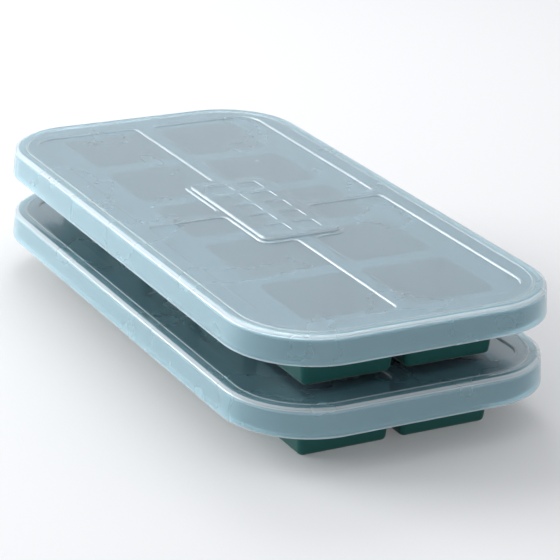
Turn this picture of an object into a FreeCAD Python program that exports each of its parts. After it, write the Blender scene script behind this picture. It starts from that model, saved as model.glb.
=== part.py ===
import FreeCAD, Part
import os
import Sketcher

# Two identical freezer trays with ten cups each, every one under its own lid, one standing on the other.
# Millimetres. +Z is up, X runs along the long side, and the origin is under the centre of the stack, on the
# plane that the lower tray's cups stand on.

SIZES = {
    # Lid: outline at its top edge, skirt, sloping band and wall
    "lid_length": 273.0,
    "lid_width": 140.0,
    "lid_corner": 35.0,
    "lid_wall": 1.2,
    "lid_edge_height": 28.3,
    "lid_edge_round": 1.2,
    "skirt_height": 11.5,
    "skirt_flare": 0.92,
    "band_width": 6.3,
    "band_rise": 0.6,
    # Four recessed panels between the border and the two crossing strips
    "panel_end_margin": 15.8,
    "panel_side_margin": 13.8,
    "panel_depth": 0.6,
    "panel_corner": 10.0,
    "panel_inner_corner": 3.0,
    "long_strip_width": 9.4,
    "cross_strip_width": 5.6,
    # Raised plaque in the middle, on a level field, with one small rounded square for each cup
    "field_length": 77.0,
    "field_width": 40.4,
    "field_corner": 5.0,
    "plaque_length": 72.4,
    "plaque_width": 36.4,
    "plaque_corner": 4.0,
    "plaque_rise": 1.0,
    "mark_side": 9.4,
    "mark_corner": 1.6,
    "mark_depth": 0.35,
    "mark_step_long": 13.0,
    "mark_step_wide": 14.0,
    # Tray: rim, web and cups
    "rim_gap": 0.3,
    "rim_depth": 10.0,
    "rim_width": 5.4,
    "rim_round": 2.0,
    "web_thickness": 1.8,
    "cup_wall": 1.8,
    "cup_columns": 5,
    "cup_rows": 2,
    "cup_step_long": 48.3,
    "cup_step_wide": 46.0,
    "mouth_length": 39.5,
    "mouth_width": 40.0,
    "mouth_corner": 4.0,
    "mouth_round": 0.7,
    "floor_length": 35.5,
    "floor_width": 36.0,
    "floor_corner": 3.4,
    "floor_round": 2.2,
    # Upright corners of a cup's outside, tighter than the cell's own, and the round under its foot
    "cup_corner": 3.0,
    "foot_corner": 2.5,
    "foot_round": 2.0,
    # Steel rod sealed in the rim, with its middle this far under the tray's top
    "rod_diameter": 3.0,
    "rod_depth": 4.4,
}

# Lengths below this count as nothing when points and edges are compared
POINT_TOLERANCE = 1e-6
EDGE_TOLERANCE = 0.01

TRAY_TOP = "(Sizes.lid_edge_height - Sizes.lid_wall)"
LID_TOP = "(Sizes.lid_edge_height + Sizes.band_rise)"
RIM_FOOT = "(%s - Sizes.rim_depth)" % TRAY_TOP
RIM_LONG = "(Sizes.lid_length / 2 - Sizes.lid_wall - Sizes.rim_gap)"
RIM_WIDE = "(Sizes.lid_width / 2 - Sizes.lid_wall - Sizes.rim_gap)"
RIM_CORNER = "(Sizes.lid_corner - Sizes.lid_wall - Sizes.rim_gap)"
STACK_STEP = "(%s + Sizes.plaque_rise)" % LID_TOP

doc = FreeCAD.newDocument("freezer_trays")
sheet = doc.addObject("Spreadsheet::Sheet", "Sizes")
for row, (alias, number) in enumerate(SIZES.items(), start=1):
    sheet.set("A%d" % row, alias.replace("_", " "))
    sheet.set("B%d" % row, str(number))
    sheet.setAlias("B%d" % row, alias)
doc.recompute()


def value(expression):
    return float(sheet.evalExpression(expression))


def origin_feature(body, role):
    return next(item for item in body.Origin.OriginFeatures if item.Role == role)


def new_body(label, lift="0"):
    body = doc.addObject("PartDesign::Body", label)
    body.Label = label
    body.setExpression("Placement.Base.z", lift)
    return body


def level_sketch(body, name, height):
    """An empty sketch parallel to the body's XY plane, at a height given by an expression."""
    sketch = body.newObject("Sketcher::SketchObject", name)
    sketch.AttachmentSupport = [(origin_feature(body, "XY_Plane"), "")]
    sketch.MapMode = "FlatFace"
    sketch.setExpression("AttachmentOffset.Base.z", height)
    return sketch


def bind(sketch, constraint, name, expression):
    number = sketch.addConstraint(constraint)
    sketch.renameConstraint(number, name)
    sketch.setExpression("Constraints." + name, expression)


def square_corners(half_long, half_wide, corner, middle_long="0", middle_wide="0"):
    """The four corners of a rounded rectangle, counterclockwise, each as expressions for x, y and radius."""
    turns = [(1, 1), (-1, 1), (-1, -1), (1, -1)]
    return [("%s + %d * (%s)" % (middle_long, turn_x, half_long),
             "%s + %d * (%s)" % (middle_wide, turn_y, half_wide), corner) for turn_x, turn_y in turns]


def draw_outline(sketch, corners):
    """Draw a closed outline of level and upright lines with a round at every corner."""
    count = len(corners)
    points = [FreeCAD.Vector(value(x), value(y), 0) for x, y, radius in corners]
    starts = []
    ends = []
    for index, point in enumerate(points):
        radius = value(corners[index][2])
        to_last = (points[index - 1] - point).normalize()
        to_next = (points[(index + 1) % count] - point).normalize()
        centre = point + (to_last + to_next) * radius
        middle = centre - (to_last + to_next).normalize() * radius
        starts.append(point + to_last * radius)
        ends.append(point + to_next * radius)
        sketch.addGeometry(Part.Arc(starts[index], middle, ends[index]), False)
    for index in range(count):
        sketch.addGeometry(Part.LineSegment(ends[index], starts[(index + 1) % count]), False)
    for index in range(count):
        line = count + index
        following = (index + 1) % count
        leaves = joint_end(sketch, index, ends[index])
        enters = joint_end(sketch, following, starts[following])
        sketch.addConstraint(Sketcher.Constraint("Tangent", index, leaves, line, 1))
        sketch.addConstraint(Sketcher.Constraint("Tangent", line, 2, following, enters))
        is_level = abs(points[index].y - points[following].y) < POINT_TOLERANCE
        sketch.addConstraint(Sketcher.Constraint("Horizontal" if is_level else "Vertical", line))
        place = points[index].y if is_level else points[index].x
        kind = "DistanceY" if is_level else "DistanceX"
        expression = corners[index][1] if is_level else corners[index][0]
        bind(sketch, Sketcher.Constraint(kind, -1, 1, line, 1, place), "side%d" % index, expression)
        bind(sketch, Sketcher.Constraint("Radius", index, value(corners[index][2])),
             "round%d" % index, corners[index][2])


def joint_end(sketch, arc, point):
    """1 if an arc starts at this point and 2 if it ends there."""
    return 1 if sketch.getPoint(arc, 1).distanceToPoint(point) < POINT_TOLERANCE else 2


def outline(body, name, height, corners):
    sketch = level_sketch(body, name, height)
    draw_outline(sketch, corners)
    return sketch


def loft(body, name, kind, lower, upper):
    feature = body.newObject("PartDesign::" + kind, name)
    feature.Profile = (lower, [""])
    feature.Sections = [(upper, [""])]
    feature.Ruled = True
    return feature


def raise_or_cut(body, name, kind, sketch, depth, downwards):
    """A Pad or a Pocket of this depth. A pocket goes down and a pad goes up unless told otherwise."""
    feature = body.newObject("PartDesign::" + kind, name)
    feature.Profile = (sketch, [""])
    feature.setExpression("Length", depth)
    feature.Reversed = downwards if kind == "Pad" else not downwards
    return feature


def grid(body, name, features, counts, steps):
    """Repeat features from the far corner of a grid back along X and Y."""
    pattern = body.newObject("PartDesign::LinearPattern", name)
    pattern.Originals = features
    pattern.Direction = (origin_feature(body, "X_Axis"), [""])
    pattern.Direction2 = (origin_feature(body, "Y_Axis"), [""])
    pattern.Mode = "Spacing"
    pattern.Mode2 = "Spacing"
    pattern.Reversed = True
    pattern.Reversed2 = True
    pattern.setExpression("Occurrences", counts[0])
    pattern.setExpression("Occurrences2", counts[1])
    pattern.setExpression("Offset", steps[0])
    pattern.setExpression("Offset2", steps[1])
    body.Tip = pattern
    doc.recompute()
    pattern.Spacings2 = [-1.0] * (round(value(counts[1])) - 1)
    doc.recompute()
    return pattern


def four_ways(body, name, feature):
    """Mirror a feature across both upright middle planes."""
    pattern = body.newObject("PartDesign::MultiTransform", name)
    pattern.Originals = [feature]
    mirrors = []
    for role in ("YZ_Plane", "XZ_Plane"):
        mirror = body.newObject("PartDesign::Mirrored", "%s_%s" % (name, role[:2].lower()))
        mirror.MirrorPlane = (origin_feature(body, role), [""])
        mirrors.append(mirror)
    pattern.Transformations = mirrors
    body.Tip = pattern
    doc.recompute()
    return pattern


def round_edges(body, name, radius, wanted):
    """Round every edge of the body so far that the test names."""
    doc.recompute()
    base = body.Tip
    edges = ["Edge%d" % (index + 1) for index, edge in enumerate(base.Shape.Edges) if wanted(edge)]
    feature = body.newObject("PartDesign::Fillet", name)
    feature.Base = (base, edges)
    feature.setExpression("Radius", radius)
    doc.recompute()
    return feature


def lies_at(edge, height):
    """True where the whole edge lies at one height above the body's foot."""
    box = edge.BoundBox
    return abs(box.ZMin - height) < EDGE_TOLERANCE and abs(box.ZMax - height) < EDGE_TOLERANCE


def is_in_cup_field(edge):
    """True where the edge lies among the cups' mouths, and not round the rim."""
    half_long = value("Sizes.cup_step_long * (Sizes.cup_columns - 1) / 2 + Sizes.mouth_length / 2")
    half_wide = value("Sizes.cup_step_wide * (Sizes.cup_rows - 1) / 2 + Sizes.mouth_width / 2")
    box = edge.BoundBox
    along = max(abs(box.XMin), abs(box.XMax))
    across = max(abs(box.YMin), abs(box.YMax))
    return along < half_long + EDGE_TOLERANCE and across < half_wide + EDGE_TOLERANCE


def rod_sketches(body):
    """The rod's path round the middle of the rim, and its round section where the path crosses the YZ plane."""
    inset = "Sizes.rim_width / 2"
    height = "(%s - Sizes.rod_depth)" % TRAY_TOP
    path = outline(body, body.Label + "_rod_path", height,
                   square_corners("%s - %s" % (RIM_LONG, inset), "%s - %s" % (RIM_WIDE, inset),
                                  "%s - %s" % (RIM_CORNER, inset)))
    section = body.newObject("Sketcher::SketchObject", body.Label + "_rod_section")
    section.AttachmentSupport = [(origin_feature(body, "YZ_Plane"), "")]
    section.MapMode = "FlatFace"
    across = "%s - %s" % (RIM_WIDE, inset)
    centre = FreeCAD.Vector(value(across), value(height), 0)
    circle = Part.Circle(centre, FreeCAD.Vector(0, 0, 1), value("Sizes.rod_diameter / 2"))
    section.addGeometry(circle, False)
    bind(section, Sketcher.Constraint("DistanceX", -1, 1, 0, 3, centre.x), "across", across)
    bind(section, Sketcher.Constraint("DistanceY", -1, 1, 0, 3, centre.y), "height", height)
    bind(section, Sketcher.Constraint("Radius", 0, circle.Radius), "radius", "Sizes.rod_diameter / 2")
    return path, section


def rod_pipe(body, name, kind):
    path, section = rod_sketches(body)
    doc.recompute()
    pipe = body.newObject("PartDesign::" + kind, name)
    pipe.Profile = (section, [""])
    pipe.Spine = (path, ["Edge%d" % (index + 1) for index in range(len(path.Shape.Edges))])
    return pipe


def build_tray(label, lift="0"):
    """A silicone moulding: a rim and a thin web that carry ten tapered cups, with a closed channel in the rim."""
    body = new_body(label, lift)
    edge = square_corners(RIM_LONG, RIM_WIDE, RIM_CORNER)
    inner = square_corners(RIM_LONG + " - Sizes.rim_width", RIM_WIDE + " - Sizes.rim_width",
                           RIM_CORNER + " - Sizes.rim_width")
    slab = outline(body, label + "_slab_outline", RIM_FOOT, edge)
    raise_or_cut(body, label + "_slab", "Pad", slab, "Sizes.rim_depth", False)
    under = outline(body, label + "_under_web_outline", RIM_FOOT, inner)
    raise_or_cut(body, label + "_under_web", "Pocket", under, "Sizes.rim_depth - Sizes.web_thickness", False)

    far_long = "Sizes.cup_step_long * (Sizes.cup_columns - 1) / 2"
    far_wide = "Sizes.cup_step_wide * (Sizes.cup_rows - 1) / 2"
    mouth = ("Sizes.mouth_length / 2", "Sizes.mouth_width / 2", "Sizes.mouth_corner")
    floor = ("Sizes.floor_length / 2", "Sizes.floor_width / 2", "Sizes.floor_corner")
    wider = " + Sizes.cup_wall"
    outside_top = outline(body, label + "_cup_top", TRAY_TOP,
                          square_corners(mouth[0] + wider, mouth[1] + wider, "Sizes.cup_corner",
                                         far_long, far_wide))
    outside_foot = outline(body, label + "_cup_foot", "0",
                           square_corners(floor[0] + wider, floor[1] + wider, "Sizes.foot_corner",
                                          far_long, far_wide))
    inside_mouth = outline(body, label + "_cell_mouth", TRAY_TOP, square_corners(*mouth, far_long, far_wide))
    inside_floor = outline(body, label + "_cell_floor", "Sizes.cup_wall",
                           square_corners(*floor, far_long, far_wide))
    counts = ("Sizes.cup_columns", "Sizes.cup_rows")
    steps = ("Sizes.cup_step_long", "Sizes.cup_step_wide")
    cup = loft(body, label + "_cup", "AdditiveLoft", outside_foot, outside_top)
    grid(body, label + "_cups", [cup], counts, steps)
    cell = loft(body, label + "_cell", "SubtractiveLoft", inside_floor, inside_mouth)
    grid(body, label + "_cells", [cell], counts, steps)

    top = value(TRAY_TOP)
    foot = value(RIM_FOOT)
    cell_floor = value("Sizes.cup_wall")
    round_edges(body, label + "_foot_round", "Sizes.foot_round", lambda item: lies_at(item, 0))
    round_edges(body, label + "_floor_round", "Sizes.floor_round", lambda item: lies_at(item, cell_floor))
    round_edges(body, label + "_mouth_round", "Sizes.mouth_round",
                lambda item: lies_at(item, top) and is_in_cup_field(item))
    round_edges(body, label + "_rim_round", "Sizes.rim_round",
                lambda item: lies_at(item, foot) or (lies_at(item, top) and not is_in_cup_field(item)))
    rod_pipe(body, label + "_rod_channel", "SubtractivePipe")
    return body


def build_rim_frame(label, lift="0"):
    """A round steel rod bent into a closed ring that fills the channel in the rim."""
    body = new_body(label, lift)
    rod_pipe(body, label + "_rod", "AdditivePipe")
    return body


def panel_corners(grow):
    """One recessed panel in the +X +Y quarter, stepped round the plaque's field, grown on all sides."""
    near_long = "Sizes.cross_strip_width / 2 - %s" % grow
    near_wide = "Sizes.long_strip_width / 2 - %s" % grow
    far_long = "Sizes.lid_length / 2 - Sizes.panel_end_margin + %s" % grow
    far_wide = "Sizes.lid_width / 2 - Sizes.panel_side_margin + %s" % grow
    field_long = "Sizes.field_length / 2 - %s" % grow
    field_wide = "Sizes.field_width / 2 - %s" % grow
    small = "Sizes.panel_inner_corner"
    return [
        (field_long, near_wide, small),
        (far_long, near_wide, small),
        (far_long, far_wide, "Sizes.panel_corner + %s" % grow),
        (near_long, far_wide, small),
        (near_long, field_wide, small),
        (field_long, field_wide, "Sizes.field_corner - %s" % grow),
    ]


def build_lid(label, lift="0"):
    """A thin cap with a flared skirt, four shallow panels, and a raised plaque where the next tray stands."""
    body = new_body(label, lift)
    half_long = "Sizes.lid_length / 2"
    half_wide = "Sizes.lid_width / 2"
    sizes = (half_long, half_wide, "Sizes.lid_corner")
    skirt_foot = "(Sizes.lid_edge_height - Sizes.skirt_height)"

    def inset(amount):
        return square_corners(*["%s - (%s)" % (size, amount) for size in sizes])

    foot_outside = outline(body, label + "_skirt_foot", skirt_foot, inset("-Sizes.skirt_flare"))
    edge_outside = outline(body, label + "_edge", "Sizes.lid_edge_height", inset("0"))
    band_outside = outline(body, label + "_band_top", LID_TOP, inset("Sizes.band_width"))
    loft(body, label + "_skirt", "AdditiveLoft", foot_outside, edge_outside)
    loft(body, label + "_band", "AdditiveLoft", edge_outside, band_outside)
    doc.recompute()
    edge_height = value("Sizes.lid_edge_height")
    round_edges(body, label + "_edge_round", "Sizes.lid_edge_round", lambda item: lies_at(item, edge_height))

    ceiling = "(%s - Sizes.lid_wall)" % LID_TOP
    foot_inside = outline(body, label + "_hollow_foot", skirt_foot, inset("Sizes.lid_wall - Sizes.skirt_flare"))
    edge_inside = outline(body, label + "_hollow_edge", TRAY_TOP, inset("Sizes.lid_wall"))
    band_inside = outline(body, label + "_hollow_top", ceiling, inset("Sizes.lid_wall + Sizes.band_width"))
    loft(body, label + "_hollow", "SubtractiveLoft", foot_inside, edge_inside)
    loft(body, label + "_band_hollow", "SubtractiveLoft", edge_inside, band_inside)

    panel_foot = outline(body, label + "_panel_foot_outline", TRAY_TOP, panel_corners("Sizes.lid_wall"))
    foot = raise_or_cut(body, label + "_panel_foot", "Pad", panel_foot, "Sizes.panel_depth", False)
    doc.recompute()
    four_ways(body, label + "_panel_feet", foot)
    panel_outline = outline(body, label + "_panel_outline", LID_TOP, panel_corners("0"))
    panel = raise_or_cut(body, label + "_panel", "Pocket", panel_outline, "Sizes.panel_depth", True)
    doc.recompute()
    four_ways(body, label + "_panels", panel)

    plaque_sizes = ("Sizes.plaque_length / 2", "Sizes.plaque_width / 2", "Sizes.plaque_corner")
    plaque = outline(body, label + "_plaque_outline", LID_TOP, square_corners(*plaque_sizes))
    raise_or_cut(body, label + "_plaque", "Pad", plaque, "Sizes.plaque_rise", False)
    plaque_inside = outline(body, label + "_plaque_hollow_outline", ceiling,
                            square_corners(*[size + " - Sizes.lid_wall" for size in plaque_sizes]))
    raise_or_cut(body, label + "_plaque_hollow", "Pocket", plaque_inside, "Sizes.plaque_rise", False)
    mark_outline = outline(body, label + "_mark_outline", "%s + Sizes.plaque_rise" % LID_TOP,
                           square_corners("Sizes.mark_side / 2", "Sizes.mark_side / 2", "Sizes.mark_corner",
                                          "Sizes.mark_step_long * (Sizes.cup_columns - 1) / 2",
                                          "Sizes.mark_step_wide * (Sizes.cup_rows - 1) / 2"))
    mark = raise_or_cut(body, label + "_mark", "Pocket", mark_outline, "Sizes.mark_depth", True)
    doc.recompute()
    grid(body, label + "_marks", [mark], ("Sizes.cup_columns", "Sizes.cup_rows"),
         ("Sizes.mark_step_long", "Sizes.mark_step_wide"))
    return body


subparts = []
for storey, storey_lift in (("lower", "0"), ("upper", STACK_STEP)):
    subparts.append(build_tray(storey + "_tray", storey_lift))
    subparts.append(build_rim_frame(storey + "_rim_frame", storey_lift))
    subparts.append(build_lid(storey + "_lid", storey_lift))
doc.recompute()

for item in doc.Objects:
    if "Invalid" in item.State or "Error" in item.State:
        raise RuntimeError("%s did not build: %s" % (item.Label, item.State))
for subpart in subparts:
    if subpart.Shape.isNull() or not subpart.Shape.isValid() or len(subpart.Shape.Solids) != 1:
        raise RuntimeError("%s is not one valid solid" % subpart.Label)

os.makedirs("parts", exist_ok=True)
for subpart in subparts:
    subpart.Shape.exportStep("parts/%s.step" % subpart.Label)
    box = subpart.Shape.BoundBox
    print("%-16s volume %9.0f mm3, z %6.2f to %6.2f" % (subpart.Label, subpart.Shape.Volume, box.ZMin, box.ZMax))
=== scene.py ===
"""Two lidded freezer trays in one stack: green silicone trays under frosted lids, on a pale studio floor."""

import math

import bmesh
import bpy
from mathutils import Matrix, Vector


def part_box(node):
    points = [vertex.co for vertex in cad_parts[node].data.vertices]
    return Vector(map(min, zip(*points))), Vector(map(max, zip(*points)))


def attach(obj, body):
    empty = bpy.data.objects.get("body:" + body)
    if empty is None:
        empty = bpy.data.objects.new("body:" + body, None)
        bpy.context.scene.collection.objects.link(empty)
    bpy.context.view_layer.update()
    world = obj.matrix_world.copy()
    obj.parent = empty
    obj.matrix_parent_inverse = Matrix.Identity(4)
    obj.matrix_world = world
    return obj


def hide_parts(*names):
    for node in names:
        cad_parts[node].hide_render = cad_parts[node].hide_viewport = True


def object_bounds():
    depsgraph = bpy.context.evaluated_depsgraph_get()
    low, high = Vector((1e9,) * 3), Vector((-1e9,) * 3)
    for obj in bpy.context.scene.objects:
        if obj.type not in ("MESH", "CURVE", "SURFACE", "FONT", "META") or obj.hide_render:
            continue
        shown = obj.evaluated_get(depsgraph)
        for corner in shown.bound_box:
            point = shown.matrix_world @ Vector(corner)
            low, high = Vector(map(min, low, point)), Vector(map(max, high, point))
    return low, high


bl_info = {
    "name": "Freezer Tray Stack",
    "version": (1, 0, 0),
    "blender": (4, 5, 0),
    "location": "View3D > Sidebar > Freezer Tray",
    "description": "Builds two lidded silicone freezer trays round their packed frame",
    "category": "Object",
}

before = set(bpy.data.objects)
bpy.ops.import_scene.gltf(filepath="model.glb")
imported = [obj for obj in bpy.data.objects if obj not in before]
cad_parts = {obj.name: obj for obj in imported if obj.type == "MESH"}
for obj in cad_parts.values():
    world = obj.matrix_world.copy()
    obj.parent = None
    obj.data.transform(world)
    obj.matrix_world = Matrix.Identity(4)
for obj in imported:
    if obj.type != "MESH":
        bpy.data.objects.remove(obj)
CAD_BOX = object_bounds()

STOREYS = ("lower", "upper")
LID_LOW, LID_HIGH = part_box("lower_lid")
TRAY_LOW, TRAY_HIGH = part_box("lower_tray")
STACK_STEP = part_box("upper_lid")[0].z - LID_LOW.z

# Sizes below are written in millimetres and multiplied by this
MM = 0.001

# The picture that the camera matches is square, with this many pixels a side
PICTURE_SIDE = 560
SENSOR_WIDTH = 36.0


def length(name, description, millimetres):
    """A length property whose default is written in millimetres."""
    return bpy.props.FloatProperty(name=name, description=description, default=millimetres * MM,
                                   precision=5, unit="LENGTH", subtype="DISTANCE")


def colour(name, description, default):
    return bpy.props.FloatVectorProperty(name=name, description=description, default=default, size=3,
                                         min=0.0, max=1.0, subtype="COLOR")


def share(name, description, default):
    return bpy.props.FloatProperty(name=name, description=description, default=default,
                                   min=0.0, max=1.0, subtype="FACTOR")


def angle(name, description, degrees):
    return bpy.props.FloatProperty(name=name, description=description, default=math.radians(degrees),
                                   subtype="ANGLE")


def power(name, description, watts):
    return bpy.props.FloatProperty(name=name, description=description, default=watts, unit="POWER")


def number(name, description, default):
    return bpy.props.FloatProperty(name=name, description=description, default=default)


class LidSettings(bpy.types.PropertyGroup):
    wall: length("Wall", "Thickness of the lid's wall", 1.2)
    flare: length("Flare", "How far the skirt leans out at its foot", 0.92)
    corner: length("Corner", "Radius of the lid's corners at its top edge", 35.0)
    edge_drop: length("Edge Drop", "How far the top edge lies under the flat border", 0.6)
    shoulder: length("Shoulder", "Reach of the round on top of the skirt", 0.4)
    lip_round: length("Lip Round", "Reach of the round on the skirt's lower lip", 0.55)
    band_width: length("Band Width", "Width of the crowned band inside the top edge", 4.7)
    band_crown: length("Band Crown", "How far the band's crown stands over the flat border", 0.25)
    bead_width: length("Bead Width", "Width of the fine bead inside the band", 1.4)
    bead_height: length("Bead Height", "Height of the fine bead inside the band", 0.2)
    panel_end_margin: length("Panel End Margin", "From the lid's short end to the panels", 15.8)
    panel_side_margin: length("Panel Side Margin", "From the lid's long side to the panels", 13.8)
    panel_depth: length("Panel Depth", "How deep the four panels are", 0.6)
    panel_corner: length("Panel Corner", "Radius of a panel's outer corner", 10.0)
    panel_inner_corner: length("Panel Inner Corner", "Radius of a panel's other corners", 3.0)
    long_strip: length("Long Strip", "Width of the strip that runs along the lid between the panels", 9.4)
    cross_strip: length("Cross Strip", "Width of the strip that runs across the lid between the panels", 5.6)
    field_length: length("Field Length", "Length of the level field round the plaque", 77.0)
    field_width: length("Field Width", "Width of the level field round the plaque", 40.4)
    field_corner: length("Field Corner", "Radius of the field's corners", 5.0)
    plaque_length: length("Plaque Length", "Length of the raised plaque", 72.4)
    plaque_width: length("Plaque Width", "Width of the raised plaque", 36.4)
    plaque_corner: length("Plaque Corner", "Radius of the plaque's corners", 4.0)
    plaque_rise: length("Plaque Rise", "Height of the plaque over the border", 1.0)
    mark_side: length("Mark Side", "Side of each small square on the plaque", 9.4)
    mark_corner: length("Mark Corner", "Radius of a small square's corners", 1.6)
    mark_depth: length("Mark Depth", "How deep the small squares are", 0.35)
    mark_step_long: length("Mark Step Long", "Spacing of the small squares along the plaque", 13.0)
    mark_step_wide: length("Mark Step Wide", "Spacing of the small squares across the plaque", 14.0)
    contact_gap: length("Contact Gap", "Air left where the lid touches a tray", 0.12)
    # The tints and clearnesses below are one plastic set apart by slope as painted light: skirt and band
    # hazier, narrow slopes paler as painted highlight lines
    flat_tint: colour("Flat Tint", "Colour of the frosted plastic on its flats", (0.57, 0.83, 0.97))
    flat_clearness: share("Flat Clearness", "Share of the light that goes through the flats", 0.915)
    rim_tint: colour("Rim Tint", "Colour of the plastic on the skirt and the band", (0.52, 0.80, 0.91))
    rim_clearness: share("Rim Clearness", "Share of the light that goes through the skirt and the band", 0.80)
    edge_tint: colour("Edge Tint", "Colour of the plastic on its narrow slopes", (0.82, 0.89, 0.93))
    edge_clearness: share("Edge Clearness", "Share of the light that goes through the narrow slopes", 0.55)
    frost: share("Frost", "Roughness of the plastic", 0.27)
    gloss: share("Gloss", "Weight of the polished skin", 0.45)


class TraySettings(bpy.types.PropertyGroup):
    rim_depth: length("Rim Depth", "Height of the rim", 10.0)
    rim_width: length("Rim Width", "Width of the rim", 5.4)
    rim_corner: length("Rim Corner", "Radius of the rim's corners", 33.5)
    rim_round: length("Rim Round", "Reach of the rounds on the rim's edges", 2.0)
    web: length("Web", "Thickness of the web between the cups", 1.8)
    wall: length("Wall", "Thickness of a cup's wall and floor", 1.8)
    columns: bpy.props.IntProperty(name="Columns", description="Cups along the tray", default=5, min=1)
    rows: bpy.props.IntProperty(name="Rows", description="Cups across the tray", default=2, min=1)
    step_long: length("Step Long", "Spacing of the cups along the tray", 48.3)
    step_wide: length("Step Wide", "Spacing of the cups across the tray", 46.0)
    mouth_length: length("Mouth Length", "Length of a cell at its mouth", 39.5)
    mouth_width: length("Mouth Width", "Width of a cell at its mouth", 40.0)
    mouth_corner: length("Mouth Corner", "Radius of a cell's corners at its mouth", 4.0)
    mouth_round: length("Mouth Round", "Reach of the round on a cell's mouth", 0.7)
    floor_length: length("Floor Length", "Length of a cell's floor", 35.5)
    floor_width: length("Floor Width", "Width of a cell's floor", 36.0)
    floor_corner: length("Floor Corner", "Radius of a cell's corners at its floor", 3.4)
    floor_round: length("Floor Round", "Reach of the round between a cell's walls and floor", 2.2)
    cup_corner: length("Cup Corner", "Radius of a cup's outer corners at its top", 3.0)
    foot_corner: length("Foot Corner", "Radius of a cup's outer corners at its foot", 2.5)
    foot_round: length("Foot Round", "Reach of the round under a cup's foot", 2.0)
    under_round: length("Under Round", "Reach of the hollow round where cups and rim meet the web", 0.8)
    rod_depth: length("Rod Depth", "Depth of the steel rod's middle under the tray's top", 4.4)
    channel_radius: length("Channel Radius", "Radius of the sealed channel round the rod", 1.52)
    pigment: colour("Pigment", "Colour of the silicone", (0.003, 0.078, 0.07))
    # Painted sheen: the top of each tray is painted paler towards this colour
    painted_sheen: colour("Bloom", "Colour of the pale bloom on the tray's top", (0.34, 0.48, 0.44))
    painted_sheen_amount: share("Bloom Amount", "How strong the bloom is", 0.9)
    painted_sheen_depth: length("Bloom Depth", "How far down from the tray's top the bloom goes", 1.5)
    steel: colour("Steel", "Colour of the rim's rod", (0.56, 0.57, 0.58))


class StageSettings(bpy.types.PropertyGroup):
    azimuth: angle("Azimuth", "Direction of the camera round the stack", 61.42)
    elevation: angle("Elevation", "Height of the camera over the horizon", 19.635)
    roll: angle("Roll", "Tilt of the camera about its own axis", 2.345)
    distance: length("Distance", "From the camera to the middle of the upper lid's edge", 998.7)
    focal_pixels: number("Focal Pixels", "Focal length in picture pixels", 2330.6)
    aim_across: number("Aim Across", "Pixel column of the upper lid's middle", 263.462)
    aim_down: number("Aim Down", "Pixel row of the upper lid's middle", 208.939)
    floor_tint: colour("Floor Tint", "Colour of the pale floor", (0.72, 0.725, 0.735))
    floor_glow: number("Floor Glow", "Light that the floor adds where the camera sees it", 0.1)
    back_power: power("Back Power", "Power of the lamp behind the stack", 1.8)
    fill_power: power("Fill Power", "Power of the broad lamp at the front left", 20.0)
    side_power: power("Side Power", "Power of the low lamp at the right", 0.6)
    sky: number("Sky", "Strength of the soft light from all round", 0.69)


# Outlines, each a closed loop of edges at one height

# Every second outline is bridged this far above its place, because level outlines can be joined with a twist
BRIDGE_RISE = 0.1

# Segments of the corners of panels, plaque, small squares and cups, and of a round along an edge
CORNER_SEGMENTS = 5
ROUND_SEGMENTS = 4

# Width of the flat that is left between a round and the face that is filled in beside it
FLAT_BORDER = 0.4 * MM


def rectangle(half_long, half_wide, corner, middle=(0.0, 0.0)):
    """The corners of a rounded rectangle, each as x, y and radius."""
    return [(middle[0] + turn_x * half_long, middle[1] + turn_y * half_wide, corner)
            for turn_x, turn_y in ((1, 1), (-1, 1), (-1, -1), (1, -1))]


def ring(long, wide, corner, middle=(0.0, 0.0)):
    """A rounded rectangle of this length and width, as a function of how far it is grown on all sides."""
    return lambda grow: rectangle(long / 2 + grow, wide / 2 + grow, corner + grow, middle)


def outline(bm, corners, height, segments):
    """A closed loop of edges through these corners at one height, with every corner rounded."""
    known = set(bm.faces)
    verts = [bm.verts.new((x, y, height)) for x, y, _ in corners]
    bm.faces.new(verts)
    for vert, (_, _, radius) in zip(verts, corners):
        bmesh.ops.bevel(bm, geom=[vert], offset=radius, offset_type="OFFSET", segments=segments,
                        profile=0.5, affect="VERTICES", clamp_overlap=False, material=-1)
    face = (set(bm.faces) - known).pop()
    edges = list(face.edges)
    bmesh.ops.delete(bm, geom=[face], context="FACES_ONLY")
    return edges


def strip(bm, stations, segments, round_segments=ROUND_SEGMENTS):
    """A skin through outlines at several heights. A station is corners, height and the reach of its round.

    The result is the first and the last loop of edges, which have no round.
    """
    loops = []
    faces = []
    for corners, height, reach in stations:
        loop = outline(bm, corners, height + BRIDGE_RISE * (len(loops) % 2), segments)
        if loops:
            faces += bmesh.ops.bridge_loops(bm, edges=loops[-1] + loop)["faces"]
        loops.append(loop)
    for loop in loops[1::2]:
        lifted = {vert for edge in loop for vert in edge.verts}
        bmesh.ops.translate(bm, vec=(0, 0, -BRIDGE_RISE), verts=list(lifted))
    bmesh.ops.recalc_face_normals(bm, faces=faces)
    for loop, (_, _, reach) in zip(loops, stations):
        if reach:
            bmesh.ops.bevel(bm, geom=loop, offset=reach, offset_type="OFFSET", segments=round_segments,
                            profile=0.5, affect="EDGES", clamp_overlap=False, material=-1)
    return loops[0], loops[-1]


def step(bm, start, end, round_segments=ROUND_SEGMENTS):
    """A rounded wall between two flat levels, with a narrow border of either level.

    Each end is an outline as a function of its growth, that growth, its height and the reach of its round.
    The result is the loop of edges outside the wall, at the start, and the one inside it, at the end.
    """
    start_outline, start_grow, start_height, start_reach = start
    end_outline, end_grow, end_height, end_reach = end
    stations = [
        (start_outline(start_grow + start_reach + FLAT_BORDER), start_height, 0),
        (start_outline(start_grow), start_height, start_reach),
        (end_outline(end_grow), end_height, end_reach),
        (end_outline(end_grow - end_reach - FLAT_BORDER), end_height, 0),
    ]
    return strip(bm, stations, CORNER_SEGMENTS, round_segments)


def fill(bm, *loops):
    """A flat face over the first loop, with a hole for each further one."""
    edges = [edge for loop in loops for edge in loop]
    bmesh.ops.triangle_fill(bm, use_beauty=True, use_dissolve=False, edges=edges, normal=(0, 0, 1))


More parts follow.
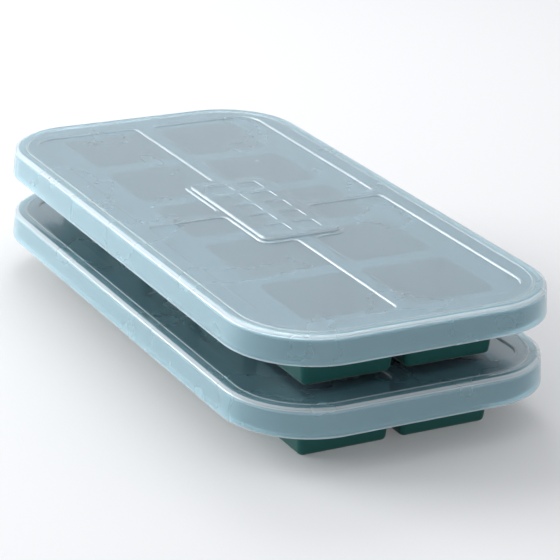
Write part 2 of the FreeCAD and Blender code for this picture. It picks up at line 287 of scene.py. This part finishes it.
def grid_middles(columns, rows, step_long, step_wide):
    """The middles of a grid that is centred on the origin."""
    return [((column - (columns - 1) / 2) * step_long, (row - (rows - 1) / 2) * step_wide)
            for column in range(columns) for row in range(rows)]


def add_piece(bm, name, materials):
    """An object from the mesh, with shading that keeps flat faces flat."""
    mesh = bpy.data.meshes.new(name)
    bm.to_mesh(mesh)
    mesh.shade_smooth()
    for material in materials:
        mesh.materials.append(bpy.data.materials[material])
    piece = bpy.data.objects.new(name, mesh)
    bpy.context.scene.collection.objects.link(piece)
    normals = piece.modifiers.new("Flat Faces Stay Flat", "WEIGHTED_NORMAL")
    normals.mode = "FACE_AREA"
    normals.weight = 50
    normals.keep_sharp = True
    return piece


def add_to_stack(bm, ending, node_ending, materials):
    """The same piece in both storeys, each riding on its body in place of its plain solid."""
    for storey in STOREYS:
        piece = add_piece(bm, storey + ending, materials)
        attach(piece, storey + node_ending)
        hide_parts(storey + node_ending)
        bmesh.ops.translate(bm, vec=(0, 0, STACK_STEP), verts=bm.verts)
    bm.free()


# Lids

LID_SEGMENTS = 14
STEP_SEGMENTS = 3
MARK_SEGMENTS = 2

# How far a wall of the panels or of the plaque leans to either side, and the rounds along such walls
WALL_LEAN = 0.1 * MM
PANEL_ROUND = 0.25 * MM
STEP_ROUND = 0.2 * MM
PLAQUE_ROUND = 0.35 * MM
MARK_RIM_ROUND = 0.15 * MM
MARK_FLOOR_ROUND = 0.12 * MM

# The band's profile. Insets count from the lid's top edge, and heights from the flat border inside the bead.
SHOULDER_DROP = 0.15 * MM
FOOT_INSET = 0.6 * MM
RISE_INSET = 1.5 * MM
RISE_HEIGHT = 0.1 * MM
RISE_ROUND = 0.6 * MM
CROWN_INSET = 2.7 * MM
CROWN_ROUND = 0.55 * MM
GROOVE_DEPTH = 0.05 * MM
GROOVE_ROUND = 0.12 * MM
BEAD_ROUND = 0.15 * MM
FINE_ROUND = 0.1 * MM

# Share of the bead's width that each of its slopes takes
BEAD_SLOPE = 0.3

# Round inside the lid under its band, and the width of flat that ends the profile on the top and the ceiling
INNER_ROUND = 0.8 * MM
PROFILE_BORDER = 1.5 * MM

# The three lit copies of the lid's one plastic, in the order of its material slots: flats, skirt and band
# with painted light, and narrow slopes with painted highlight lines
LID_LIT_COPIES = {
    "Frosted Lid Plastic": "flat",
    "Frosted Lid Rim": "rim",
    "Frosted Lid Edges": "edge",
}
FLAT_SLOT, RIM_PAINTED_LIGHT_SLOT, EDGE_PAINTED_HIGHLIGHT_SLOT = range(len(LID_LIT_COPIES))

# The upward part of a face's normal: least on a flat, and least and most on a narrow slope, which gets the
# painted highlight copy
FLAT_UPWARD = 0.9999
SLOPE_UPWARD = (0.1, 0.93)


def lid_outline(lid, inset):
    """The lid's outline, this far inside its top edge."""
    return rectangle(LID_HIGH.x - lid.flare - inset, LID_HIGH.y - lid.flare - inset, lid.corner - inset)


def panel_outline(lid, grow, turn_x, turn_y):
    """One panel, stepped round the plaque's field and grown on all sides, in the quarter the turns name."""
    near_long = lid.cross_strip / 2 - grow
    near_wide = lid.long_strip / 2 - grow
    far_long = LID_HIGH.x - lid.flare - lid.panel_end_margin + grow
    far_wide = LID_HIGH.y - lid.flare - lid.panel_side_margin + grow
    field_long = lid.field_length / 2 - grow
    field_wide = lid.field_width / 2 - grow
    small = lid.panel_inner_corner + grow
    corners = [
        (field_long, near_wide, small),
        (far_long, near_wide, small),
        (far_long, far_wide, lid.panel_corner + grow),
        (near_long, far_wide, small),
        (near_long, field_wide, small),
        (field_long, field_wide, lid.field_corner - grow),
    ]
    return [(turn_x * x, turn_y * y, radius) for x, y, radius in corners]


def lid_wall(bm, lid, top, ceiling):
    """The lid from its ceiling round the inner wall, lip, skirt, shoulder and band to the bead on its top.

    The result is the loop of edges on the ceiling and the one on the top.
    """
    edge = top - lid.edge_drop
    foot = LID_LOW.z
    bead = lid.band_width
    bead_end = bead + lid.bead_width
    bead_top = top + lid.bead_height
    bead_slope = BEAD_SLOPE * lid.bead_width
    profile = [
        (lid.wall + bead + PROFILE_BORDER, ceiling, 0),
        (lid.wall + bead, ceiling, INNER_ROUND),
        (lid.wall, edge - lid.wall, INNER_ROUND),
        (lid.wall - lid.flare, foot, lid.lip_round),
        (-lid.flare, foot, lid.lip_round),
        (0, edge - SHOULDER_DROP, lid.shoulder),
        (FOOT_INSET, edge, FINE_ROUND),
        (RISE_INSET, top + RISE_HEIGHT, RISE_ROUND),
        (CROWN_INSET, top + lid.band_crown, CROWN_ROUND),
        (bead, top - GROOVE_DEPTH, GROOVE_ROUND),
        (bead + bead_slope, bead_top, BEAD_ROUND),
        (bead_end - bead_slope, bead_top, BEAD_ROUND),
        (bead_end, top, FINE_ROUND),
        (bead_end + PROFILE_BORDER, top, 0),
    ]
    stations = [(lid_outline(lid, inset), height, reach) for inset, height, reach in profile]
    return strip(bm, stations, LID_SEGMENTS)


def lid_panels(bm, lid, top, ceiling):
    """Four panels and their undersides. The result is the rims on the top and those on the ceiling."""
    floor_height = top - lid.panel_depth
    under_height = ceiling - lid.panel_depth + lid.contact_gap
    over_rims = []
    under_rims = []
    for turn_x, turn_y in ((1, 1), (1, -1), (-1, 1), (-1, -1)):
        def panel(grow):
            return panel_outline(lid, grow, turn_x, turn_y)

        rim, floor = step(bm, (panel, WALL_LEAN, top, PANEL_ROUND),
                          (panel, -WALL_LEAN, floor_height, STEP_ROUND), STEP_SEGMENTS)
        over_rims.append(rim)
        fill(bm, floor)
        rim, floor = step(bm, (panel, lid.wall, ceiling, STEP_ROUND),
                          (panel, lid.wall - WALL_LEAN, under_height, STEP_ROUND), STEP_SEGMENTS)
        under_rims.append(rim)
        fill(bm, floor)
    return over_rims, under_rims


def lid_plaque(bm, lid, top, ceiling, face_height):
    """The raised plaque and the hollow under it. The result is the foot, the face and the hollow's rim."""
    plaque = ring(lid.plaque_length, lid.plaque_width, lid.plaque_corner)
    foot, face = step(bm, (plaque, WALL_LEAN, top, STEP_ROUND), (plaque, 0, face_height, PLAQUE_ROUND),
                      STEP_SEGMENTS)
    rim, hollow = step(bm, (plaque, -lid.wall, ceiling, STEP_ROUND),
                       (plaque, -lid.wall, face_height - lid.wall, STEP_ROUND), STEP_SEGMENTS)
    fill(bm, hollow)
    return foot, face, rim


def lid_marks(bm, lid, face_height):
    """One small square on the plaque for each cup. The result is the squares' rims."""
    tray = bpy.context.scene.freezer_tray
    rims = []
    for middle in grid_middles(tray.columns, tray.rows, lid.mark_step_long, lid.mark_step_wide):
        mark = ring(lid.mark_side, lid.mark_side, lid.mark_corner, middle)
        rim, floor = step(bm, (mark, 0, face_height, MARK_RIM_ROUND),
                          (mark, -WALL_LEAN, face_height - lid.mark_depth, MARK_FLOOR_ROUND), MARK_SEGMENTS)
        rims.append(rim)
        fill(bm, floor)
    return rims


def lid_mesh(lid):
    """One closed shell of a lid, with the copy of its plastic for every face chosen by its slope: painted
    highlight on narrow slopes, painted light on skirt and band.
    """
    bm = bmesh.new()
    top = LID_HIGH.z - lid.plaque_rise
    ceiling = top - lid.wall
    face_height = LID_HIGH.z - lid.contact_gap
    under, over = lid_wall(bm, lid, top, ceiling)
    over_rims, under_rims = lid_panels(bm, lid, top, ceiling)
    plaque_foot, plaque_face, hollow_rim = lid_plaque(bm, lid, top, ceiling, face_height)
    mark_rims = lid_marks(bm, lid, face_height)
    fill(bm, over, *over_rims, plaque_foot)
    fill(bm, under, *under_rims, hollow_rim)
    fill(bm, plaque_face, *mark_rims)
    bmesh.ops.recalc_face_normals(bm, faces=bm.faces)
    # Painted light by slope: narrow slopes get the painted highlight copy, skirt and band the hazier painted
    # light copy
    for face in bm.faces:
        upward = abs(face.normal.z)
        if upward > FLAT_UPWARD:
            face.material_index = FLAT_SLOT
        elif SLOPE_UPWARD[0] < upward < SLOPE_UPWARD[1]:
            face.material_index = EDGE_PAINTED_HIGHLIGHT_SLOT
        else:
            face.material_index = RIM_PAINTED_LIGHT_SLOT
    return bm


# Trays

TRAY_SEGMENTS = 12
CHANNEL_SIDES = 16


def rim_outline(tray, inset):
    return rectangle(TRAY_HIGH.x - inset, TRAY_HIGH.y - inset, tray.rim_corner - inset)


def tray_mesh(tray):
    """One closed shell with ten cells over ten cups, and the sealed channel round the rim's rod."""
    bm = bmesh.new()
    top = TRAY_HIGH.z
    under = top - tray.web
    foot = top - tray.rim_depth
    profile = [
        (tray.rim_round + FLAT_BORDER, top, 0),
        (0, top, tray.rim_round),
        (0, foot, tray.rim_round),
        (tray.rim_width, foot, tray.rim_round),
        (tray.rim_width, under, tray.under_round),
        (tray.rim_width + tray.under_round + FLAT_BORDER, under, 0),
    ]
    stations = [(rim_outline(tray, inset), height, reach) for inset, height, reach in profile]
    over_rim, under_rim = strip(bm, stations, TRAY_SEGMENTS)
    over_loops = [over_rim]
    under_loops = [under_rim]
    lean = (tray.mouth_length - tray.floor_length) / 2 * (under / top)
    foot_length = tray.floor_length + 2 * tray.wall
    foot_width = tray.floor_width + 2 * tray.wall
    for middle in grid_middles(tray.columns, tray.rows, tray.step_long, tray.step_wide):
        mouth = ring(tray.mouth_length, tray.mouth_width, tray.mouth_corner, middle)
        floor = ring(tray.floor_length, tray.floor_width, tray.floor_corner, middle)
        cup_top = ring(foot_length + 2 * lean, foot_width + 2 * lean, tray.cup_corner, middle)
        cup_foot = ring(foot_length, foot_width, tray.foot_corner, middle)
        rim, bottom = step(bm, (mouth, 0, top, tray.mouth_round), (floor, 0, tray.wall, tray.floor_round))
        over_loops.append(rim)
        fill(bm, bottom)
        rim, bottom = step(bm, (cup_top, 0, under, tray.under_round),
                           (cup_foot, 0, TRAY_LOW.z, tray.foot_round))
        under_loops.append(rim)
        fill(bm, bottom)
    fill(bm, *over_loops)
    fill(bm, *under_loops)
    bmesh.ops.recalc_face_normals(bm, faces=bm.faces)
    add_channel(bm, tray, top)
    return bm


def add_channel(bm, tray, top):
    """The sealed channel that the rim's rod fills, a shell that faces its own inside."""
    solid = set(bm.faces)
    loops = []
    for side in range(CHANNEL_SIDES):
        turn = math.tau * side / CHANNEL_SIDES
        inset = tray.rim_width / 2 + tray.channel_radius * math.cos(turn)
        height = top - tray.rod_depth + tray.channel_radius * math.sin(turn)
        loops.append(outline(bm, rim_outline(tray, inset), height, TRAY_SEGMENTS))
    for one, other in zip(loops, loops[1:] + loops[:1]):
        bmesh.ops.bridge_loops(bm, edges=one + other)
    channel = [face for face in bm.faces if face not in solid]
    bmesh.ops.recalc_face_normals(bm, faces=channel)
    bmesh.ops.reverse_faces(bm, faces=channel)


# Finishes

# Cover of the pale layer on a face that looks up, and what its patches add to it: dust on lids and rods,
# painted sheen on each tray's top
EVEN_COVER = 0.35
PATCH_COVER = 0.3


def effect_group(name, inputs, outputs):
    """An empty shader group. An input is a name, a socket type and a default, an output a name and a type."""
    group = bpy.data.node_groups.new(name, "ShaderNodeTree")
    for socket_name, kind, default in inputs:
        socket = group.interface.new_socket(name=socket_name, in_out="INPUT", socket_type=kind)
        if default is not None:
            socket.default_value = default
    for socket_name, kind in outputs:
        group.interface.new_socket(name=socket_name, in_out="OUTPUT", socket_type=kind)
    return group, group.nodes.new("NodeGroupInput"), group.nodes.new("NodeGroupOutput")


def math_node(nodes, links, operation, first, second):
    """A Math node. Each operand is a socket or a number."""
    node = nodes.new("ShaderNodeMath")
    node.operation = operation
    for socket, operand in zip(node.inputs, (first, second)):
        if isinstance(operand, (int, float)):
            socket.default_value = operand
        else:
            links.new(operand, socket)
    return node.outputs[0]


def noise_node(nodes, links, vector, scale, detail):
    node = nodes.new("ShaderNodeTexNoise")
    links.new(vector, node.inputs["Vector"])
    if isinstance(scale, (int, float)):
        node.inputs["Scale"].default_value = scale
    else:
        links.new(scale, node.inputs["Scale"])
    node.inputs["Detail"].default_value = detail
    return node.outputs["Fac"]


def moulded_grain():
    """Fine moulding grain: a height for Bump, and a roughness that wanders about a middle value."""
    group, given, out = effect_group(
        "Moulded Grain",
        [("Vector", "NodeSocketVector", None), ("Grain Scale", "NodeSocketFloat", 1500.0),
         ("Roughness", "NodeSocketFloat", 0.4), ("Wander", "NodeSocketFloat", 0.06)],
        [("Height", "NodeSocketFloat"), ("Roughness", "NodeSocketFloat")])
    nodes, links = group.nodes, group.links
    fine = noise_node(nodes, links, given.outputs["Vector"], given.outputs["Grain Scale"], detail=2.0)
    broad = noise_node(nodes, links, given.outputs["Vector"], scale=28.0, detail=3.0)
    links.new(fine, out.inputs["Height"])
    centred = math_node(nodes, links, "SUBTRACT", broad, 0.5)
    wander = math_node(nodes, links, "MULTIPLY", centred, given.outputs["Wander"])
    links.new(math_node(nodes, links, "ADD", wander, given.outputs["Roughness"]), out.inputs["Roughness"])


def dust_and_painted_sheen():
    """A colour with a thin pale layer, thickest on faces that look up: dust on the lids and the rod, painted
    sheen on each tray's top.
    """
    group, given, out = effect_group(
        "Settled Dust",
        [("Vector", "NodeSocketVector", None), ("Color", "NodeSocketColor", None),
         ("Dust", "NodeSocketColor", (0.6, 0.63, 0.64, 1.0)), ("Amount", "NodeSocketFloat", 0.05)],
        [("Color", "NodeSocketColor")])
    nodes, links = group.nodes, group.links
    patches = noise_node(nodes, links, given.outputs["Vector"], scale=60.0, detail=4.0)
    geometry = nodes.new("ShaderNodeNewGeometry")
    parts = nodes.new("ShaderNodeSeparateXYZ")
    links.new(geometry.outputs["Normal"], parts.inputs[0])
    upward = math_node(nodes, links, "MAXIMUM", parts.outputs["Z"], 0.0)
    thicker = math_node(nodes, links, "MULTIPLY", patches, PATCH_COVER)
    evened = math_node(nodes, links, "ADD", thicker, EVEN_COVER)
    cover = math_node(nodes, links, "MULTIPLY", upward, evened)
    thin = math_node(nodes, links, "MULTIPLY", cover, given.outputs["Amount"])
    mix = nodes.new("ShaderNodeMix")
    mix.data_type = "RGBA"
    links.new(thin, mix.inputs["Factor"])
    links.new(given.outputs["Color"], mix.inputs["A"])
    links.new(given.outputs["Dust"], mix.inputs["B"])
    links.new(mix.outputs["Result"], out.inputs["Color"])


def new_material(name):
    """The nodes, the links and the Principled shader of a new material."""
    material = bpy.data.materials.new(name)
    material.use_nodes = True
    nodes = material.node_tree.nodes
    shader = next(node for node in nodes if node.type == "BSDF_PRINCIPLED")
    return nodes, material.node_tree.links, shader


def place_group(nodes, links, name, vector, **values):
    """A shared effect, found by its name. An underscore stands for the space in an input's name."""
    node = nodes.new("ShaderNodeGroup")
    node.node_tree = bpy.data.node_groups[name]
    links.new(vector, node.inputs["Vector"])
    for socket, value in values.items():
        node.inputs[socket.replace("_", " ")].default_value = value
    return node


def bump(nodes, links, shader, height, strength, distance):
    node = nodes.new("ShaderNodeBump")
    node.inputs["Strength"].default_value = strength
    node.inputs["Distance"].default_value = distance
    links.new(height, node.inputs["Height"])
    links.new(node.outputs["Normal"], shader.inputs["Normal"])


def frosted_plastic(lid, name, face_kind):
    """Milky lid plastic for one kind of face: light goes through it blurred, and its skin is polished. The
    kinds differ in tint and clearness only as painted light: hazier on skirt and band, paler on narrow slopes
    as painted highlight.
    """
    nodes, links, shader = new_material(name)
    place = nodes.new("ShaderNodeTexCoord").outputs["Object"]
    shader.inputs["IOR"].default_value = 1.49
    shader.inputs["Transmission Weight"].default_value = getattr(lid, face_kind + "_clearness")
    shader.inputs["Coat Weight"].default_value = lid.gloss
    shader.inputs["Coat Roughness"].default_value = 0.07
    grain = place_group(nodes, links, "Moulded Grain", place,
                        Grain_Scale=900.0, Roughness=lid.frost, Wander=0.05)
    links.new(grain.outputs["Roughness"], shader.inputs["Roughness"])
    bump(nodes, links, shader, grain.outputs["Height"], strength=0.02, distance=0.1 * MM)
    dust_and_sheen = place_group(nodes, links, "Settled Dust", place,
                       Color=(*getattr(lid, face_kind + "_tint"), 1.0), Amount=0.06)
    links.new(dust_and_sheen.outputs["Color"], shader.inputs["Base Color"])


def matte_silicone(tray):
    """Deep green silicone with a soft matte skin, and the top of each tray painted paler as painted sheen."""
    nodes, links, shader = new_material("Green Silicone")
    place = nodes.new("ShaderNodeTexCoord").outputs["Object"]
    shader.inputs["IOR"].default_value = 1.41
    shader.inputs["Sheen Weight"].default_value = 0.35
    shader.inputs["Sheen Roughness"].default_value = 0.35
    grain = place_group(nodes, links, "Moulded Grain", place,
                        Grain_Scale=1600.0, Roughness=0.5, Wander=0.12)
    links.new(grain.outputs["Roughness"], shader.inputs["Roughness"])
    bump(nodes, links, shader, grain.outputs["Height"], strength=0.15, distance=0.1 * MM)
    dust_and_sheen = place_group(nodes, links, "Settled Dust", place,
                       Color=(*tray.pigment, 1.0), Dust=(*tray.painted_sheen, 1.0))
    # Painted sheen: faces that look up near the top of each tray are painted paler
    parts = nodes.new("ShaderNodeSeparateXYZ")
    links.new(place, parts.inputs[0])
    height_in_storey = math_node(nodes, links, "FLOORED_MODULO", parts.outputs["Z"], STACK_STEP)
    painted_sheen_zone = math_node(nodes, links, "GREATER_THAN", height_in_storey, TRAY_HIGH.z - tray.painted_sheen_depth)
    links.new(math_node(nodes, links, "MULTIPLY", painted_sheen_zone, tray.painted_sheen_amount), dust_and_sheen.inputs["Amount"])
    links.new(dust_and_sheen.outputs["Color"], shader.inputs["Base Color"])


def drawn_steel(tray):
    """Bright drawn steel for the rod that is sealed in the rim."""
    nodes, links, shader = new_material("Drawn Steel")
    place = nodes.new("ShaderNodeTexCoord").outputs["Object"]
    shader.inputs["Metallic"].default_value = 1.0
    grain = place_group(nodes, links, "Moulded Grain", place,
                        Grain_Scale=2500.0, Roughness=0.3, Wander=0.1)
    links.new(grain.outputs["Roughness"], shader.inputs["Roughness"])
    bump(nodes, links, shader, grain.outputs["Height"], strength=0.1, distance=0.05 * MM)
    dust_and_sheen = place_group(nodes, links, "Settled Dust", place,
                       Color=(*tray.steel, 1.0), Amount=0.02)
    links.new(dust_and_sheen.outputs["Color"], shader.inputs["Base Color"])


# Stage

# Colour of the sky, and of the little light that the floor adds
SKY_COLOUR = (0.97, 0.98, 1.0, 1.0)

# Each lamp's azimuth and elevation in degrees, its distance and side in metres, and the setting of its power
LAMPS = {
    "back_lamp": (-110, 50, 1.0, 0.4, "back_power"),
    "fill_lamp": (-38, 16, 1.2, 0.9, "fill_power"),
    "side_lamp": (80, 9, 1.0, 0.3, "side_power"),
}

FLOOR_HALF_SIDE = 4.0

# The floor lies this far under the lower tray's feet, so that the two faces don't meet
FLOOR_DROP = 0.05 * MM


def add_area_lamp(name, aim, away, side, watts):
    """A square soft lamp that shines on the aim from a place this far away from it."""
    lamp = bpy.data.lights.new(name, "AREA")
    lamp.shape = "SQUARE"
    lamp.size = side
    lamp.energy = watts
    holder = bpy.data.objects.new(name, lamp)
    bpy.context.scene.collection.objects.link(holder)
    holder.location = aim + away
    holder.rotation_euler = away.to_track_quat("Z", "Y").to_euler()


def direction(azimuth, elevation):
    """Unit vector from the stack towards a place at this azimuth and elevation."""
    return Vector((math.sin(azimuth) * math.cos(elevation), -math.cos(azimuth) * math.cos(elevation),
                   math.sin(elevation)))


def seen_ray(nodes, links):
    """1 for rays from the camera, and for those that metal and glass send on."""
    path = nodes.new("ShaderNodeLightPath")
    seen = math_node(nodes, links, "MAXIMUM", path.outputs["Is Camera Ray"], path.outputs["Is Glossy Ray"])
    return math_node(nodes, links, "MAXIMUM", seen, path.outputs["Is Transmission Ray"])


def pale_world(stage):
    world = bpy.data.worlds.new("Pale Studio")
    bpy.context.scene.world = world
    world.use_nodes = True
    nodes, links = world.node_tree.nodes, world.node_tree.links
    background = next(node for node in nodes if node.type == "BACKGROUND")
    background.inputs["Color"].default_value = SKY_COLOUR
    seen = seen_ray(nodes, links)
    extra = math_node(nodes, links, "MULTIPLY", seen, 1.0 - stage.sky)
    links.new(math_node(nodes, links, "ADD", extra, stage.sky), background.inputs["Strength"])


def pale_floor(stage):
    nodes, links, shader = new_material("Pale Floor")
    shader.inputs["Base Color"].default_value = (*stage.floor_tint, 1.0)
    shader.inputs["Roughness"].default_value = 0.7
    shader.inputs["Emission Color"].default_value = SKY_COLOUR
    glow = math_node(nodes, links, "MULTIPLY", seen_ray(nodes, links), stage.floor_glow)
    links.new(glow, shader.inputs["Emission Strength"])
    bm = bmesh.new()
    bmesh.ops.create_grid(bm, x_segments=1, y_segments=1, size=FLOOR_HALF_SIDE)
    bmesh.ops.translate(bm, vec=(0, 0, -FLOOR_DROP), verts=bm.verts)
    mesh = bpy.data.meshes.new("studio_floor")
    bm.to_mesh(mesh)
    bm.free()
    mesh.materials.append(bpy.data.materials["Pale Floor"])
    floor = bpy.data.objects.new("studio_floor", mesh)
    bpy.context.scene.collection.objects.link(floor)


def add_camera(stage):
    """A camera that sees the middle of the upper lid's edge at the aim pixel of the square picture."""
    lid = bpy.context.scene.freezer_lid
    middle = Vector((0, 0, LID_HIGH.z - lid.plaque_rise - lid.edge_drop + STACK_STEP))
    back = direction(stage.azimuth, stage.elevation)
    level = Vector((math.cos(stage.azimuth), math.sin(stage.azimuth), 0))
    upright = back.cross(level)
    right = level * math.cos(stage.roll) + upright * math.sin(stage.roll)
    up = upright * math.cos(stage.roll) - level * math.sin(stage.roll)
    half = PICTURE_SIDE / 2
    aim = Vector((stage.aim_across - half, half - stage.aim_down, -stage.focal_pixels))
    turn = Vector((0, 0, -1)).rotation_difference(aim.normalized()).to_matrix()
    look = Matrix((right, up, back)).transposed() @ turn.transposed()
    data = bpy.data.cameras.new("photo_camera")
    data.sensor_width = SENSOR_WIDTH
    data.lens = stage.focal_pixels / PICTURE_SIDE * SENSOR_WIDTH
    camera = bpy.data.objects.new("photo_camera", data)
    bpy.context.scene.collection.objects.link(camera)
    camera.matrix_world = Matrix.Translation(middle + back * stage.distance) @ look.to_4x4()
    bpy.context.scene.camera = camera


# Operators


class FREEZER_OT_prepare_finishes(bpy.types.Operator):
    """Make the shared surface effects, the finishes of trays and rods, and the lid plastic in copies with
    painted light and painted highlight by slope
    """

    bl_idname = "freezer.prepare_finishes"
    bl_label = "Prepare Finishes"

    def execute(self, context):
        moulded_grain()
        dust_and_painted_sheen()
        for name, face_kind in LID_LIT_COPIES.items():
            frosted_plastic(context.scene.freezer_lid, name, face_kind)
        matte_silicone(context.scene.freezer_tray)
        drawn_steel(context.scene.freezer_tray)
        return {"FINISHED"}


class FREEZER_OT_add_trays(bpy.types.Operator):
    """Add the two silicone trays in place of their plain solids, and finish the rods in their rims"""

    bl_idname = "freezer.add_trays"
    bl_label = "Add Trays"

    def execute(self, context):
        add_to_stack(tray_mesh(context.scene.freezer_tray), "_silicone_tray", "_tray", ["Green Silicone"])
        for storey in STOREYS:
            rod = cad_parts[storey + "_rim_frame"]
            rod.data.materials.clear()
            rod.data.materials.append(bpy.data.materials["Drawn Steel"])
        return {"FINISHED"}


class FREEZER_OT_add_lids(bpy.types.Operator):
    """Add the two frosted lids in place of their plain solids"""

    bl_idname = "freezer.add_lids"
    bl_label = "Add Lids"

    def execute(self, context):
        add_to_stack(lid_mesh(context.scene.freezer_lid), "_frosted_lid", "_lid", LID_LIT_COPIES)
        return {"FINISHED"}


class FREEZER_OT_add_stage(bpy.types.Operator):
    """Add the pale floor, the soft lamps and the camera"""

    bl_idname = "freezer.add_stage"
    bl_label = "Add Stage"

    def execute(self, context):
        stage = context.scene.freezer_stage
        pale_world(stage)
        pale_floor(stage)
        middle = Vector((0, 0, (CAD_BOX[0].z + CAD_BOX[1].z) / 2))
        for name, (azimuth, elevation, distance, side, setting) in LAMPS.items():
            away = direction(math.radians(azimuth), math.radians(elevation))
            add_area_lamp(name, middle, away * distance, side, getattr(stage, setting))
        add_camera(stage)
        context.scene.view_settings.view_transform = "Standard"
        return {"FINISHED"}


class FREEZER_PT_sidebar(bpy.types.Panel):
    bl_idname = "FREEZER_PT_sidebar"
    bl_label = "Freezer Tray"
    bl_space_type = "VIEW_3D"
    bl_region_type = "UI"
    bl_category = "Freezer Tray"

    def draw(self, context):
        for operator in OPERATORS:
            self.layout.operator(operator.bl_idname)
        for settings in (context.scene.freezer_lid, context.scene.freezer_tray, context.scene.freezer_stage):
            box = self.layout.box()
            for name in settings.__annotations__:
                box.prop(settings, name)


OPERATORS = (FREEZER_OT_prepare_finishes, FREEZER_OT_add_trays, FREEZER_OT_add_lids, FREEZER_OT_add_stage)
SETTINGS = {"freezer_lid": LidSettings, "freezer_tray": TraySettings, "freezer_stage": StageSettings}


def register():
    for owned in (*SETTINGS.values(), *OPERATORS, FREEZER_PT_sidebar):
        bpy.utils.register_class(owned)
    for name, group in SETTINGS.items():
        setattr(bpy.types.Scene, name, bpy.props.PointerProperty(type=group))


def unregister():
    for name in SETTINGS:
        delattr(bpy.types.Scene, name)
    for owned in (FREEZER_PT_sidebar, *reversed(OPERATORS), *reversed(SETTINGS.values())):
        bpy.utils.unregister_class(owned)


def main():
    register()
    bpy.ops.freezer.prepare_finishes()
    bpy.ops.freezer.add_trays()
    bpy.ops.freezer.add_lids()
    bpy.ops.freezer.add_stage()
    bpy.context.view_layer.update()


if __name__ == "__main__":
    main()
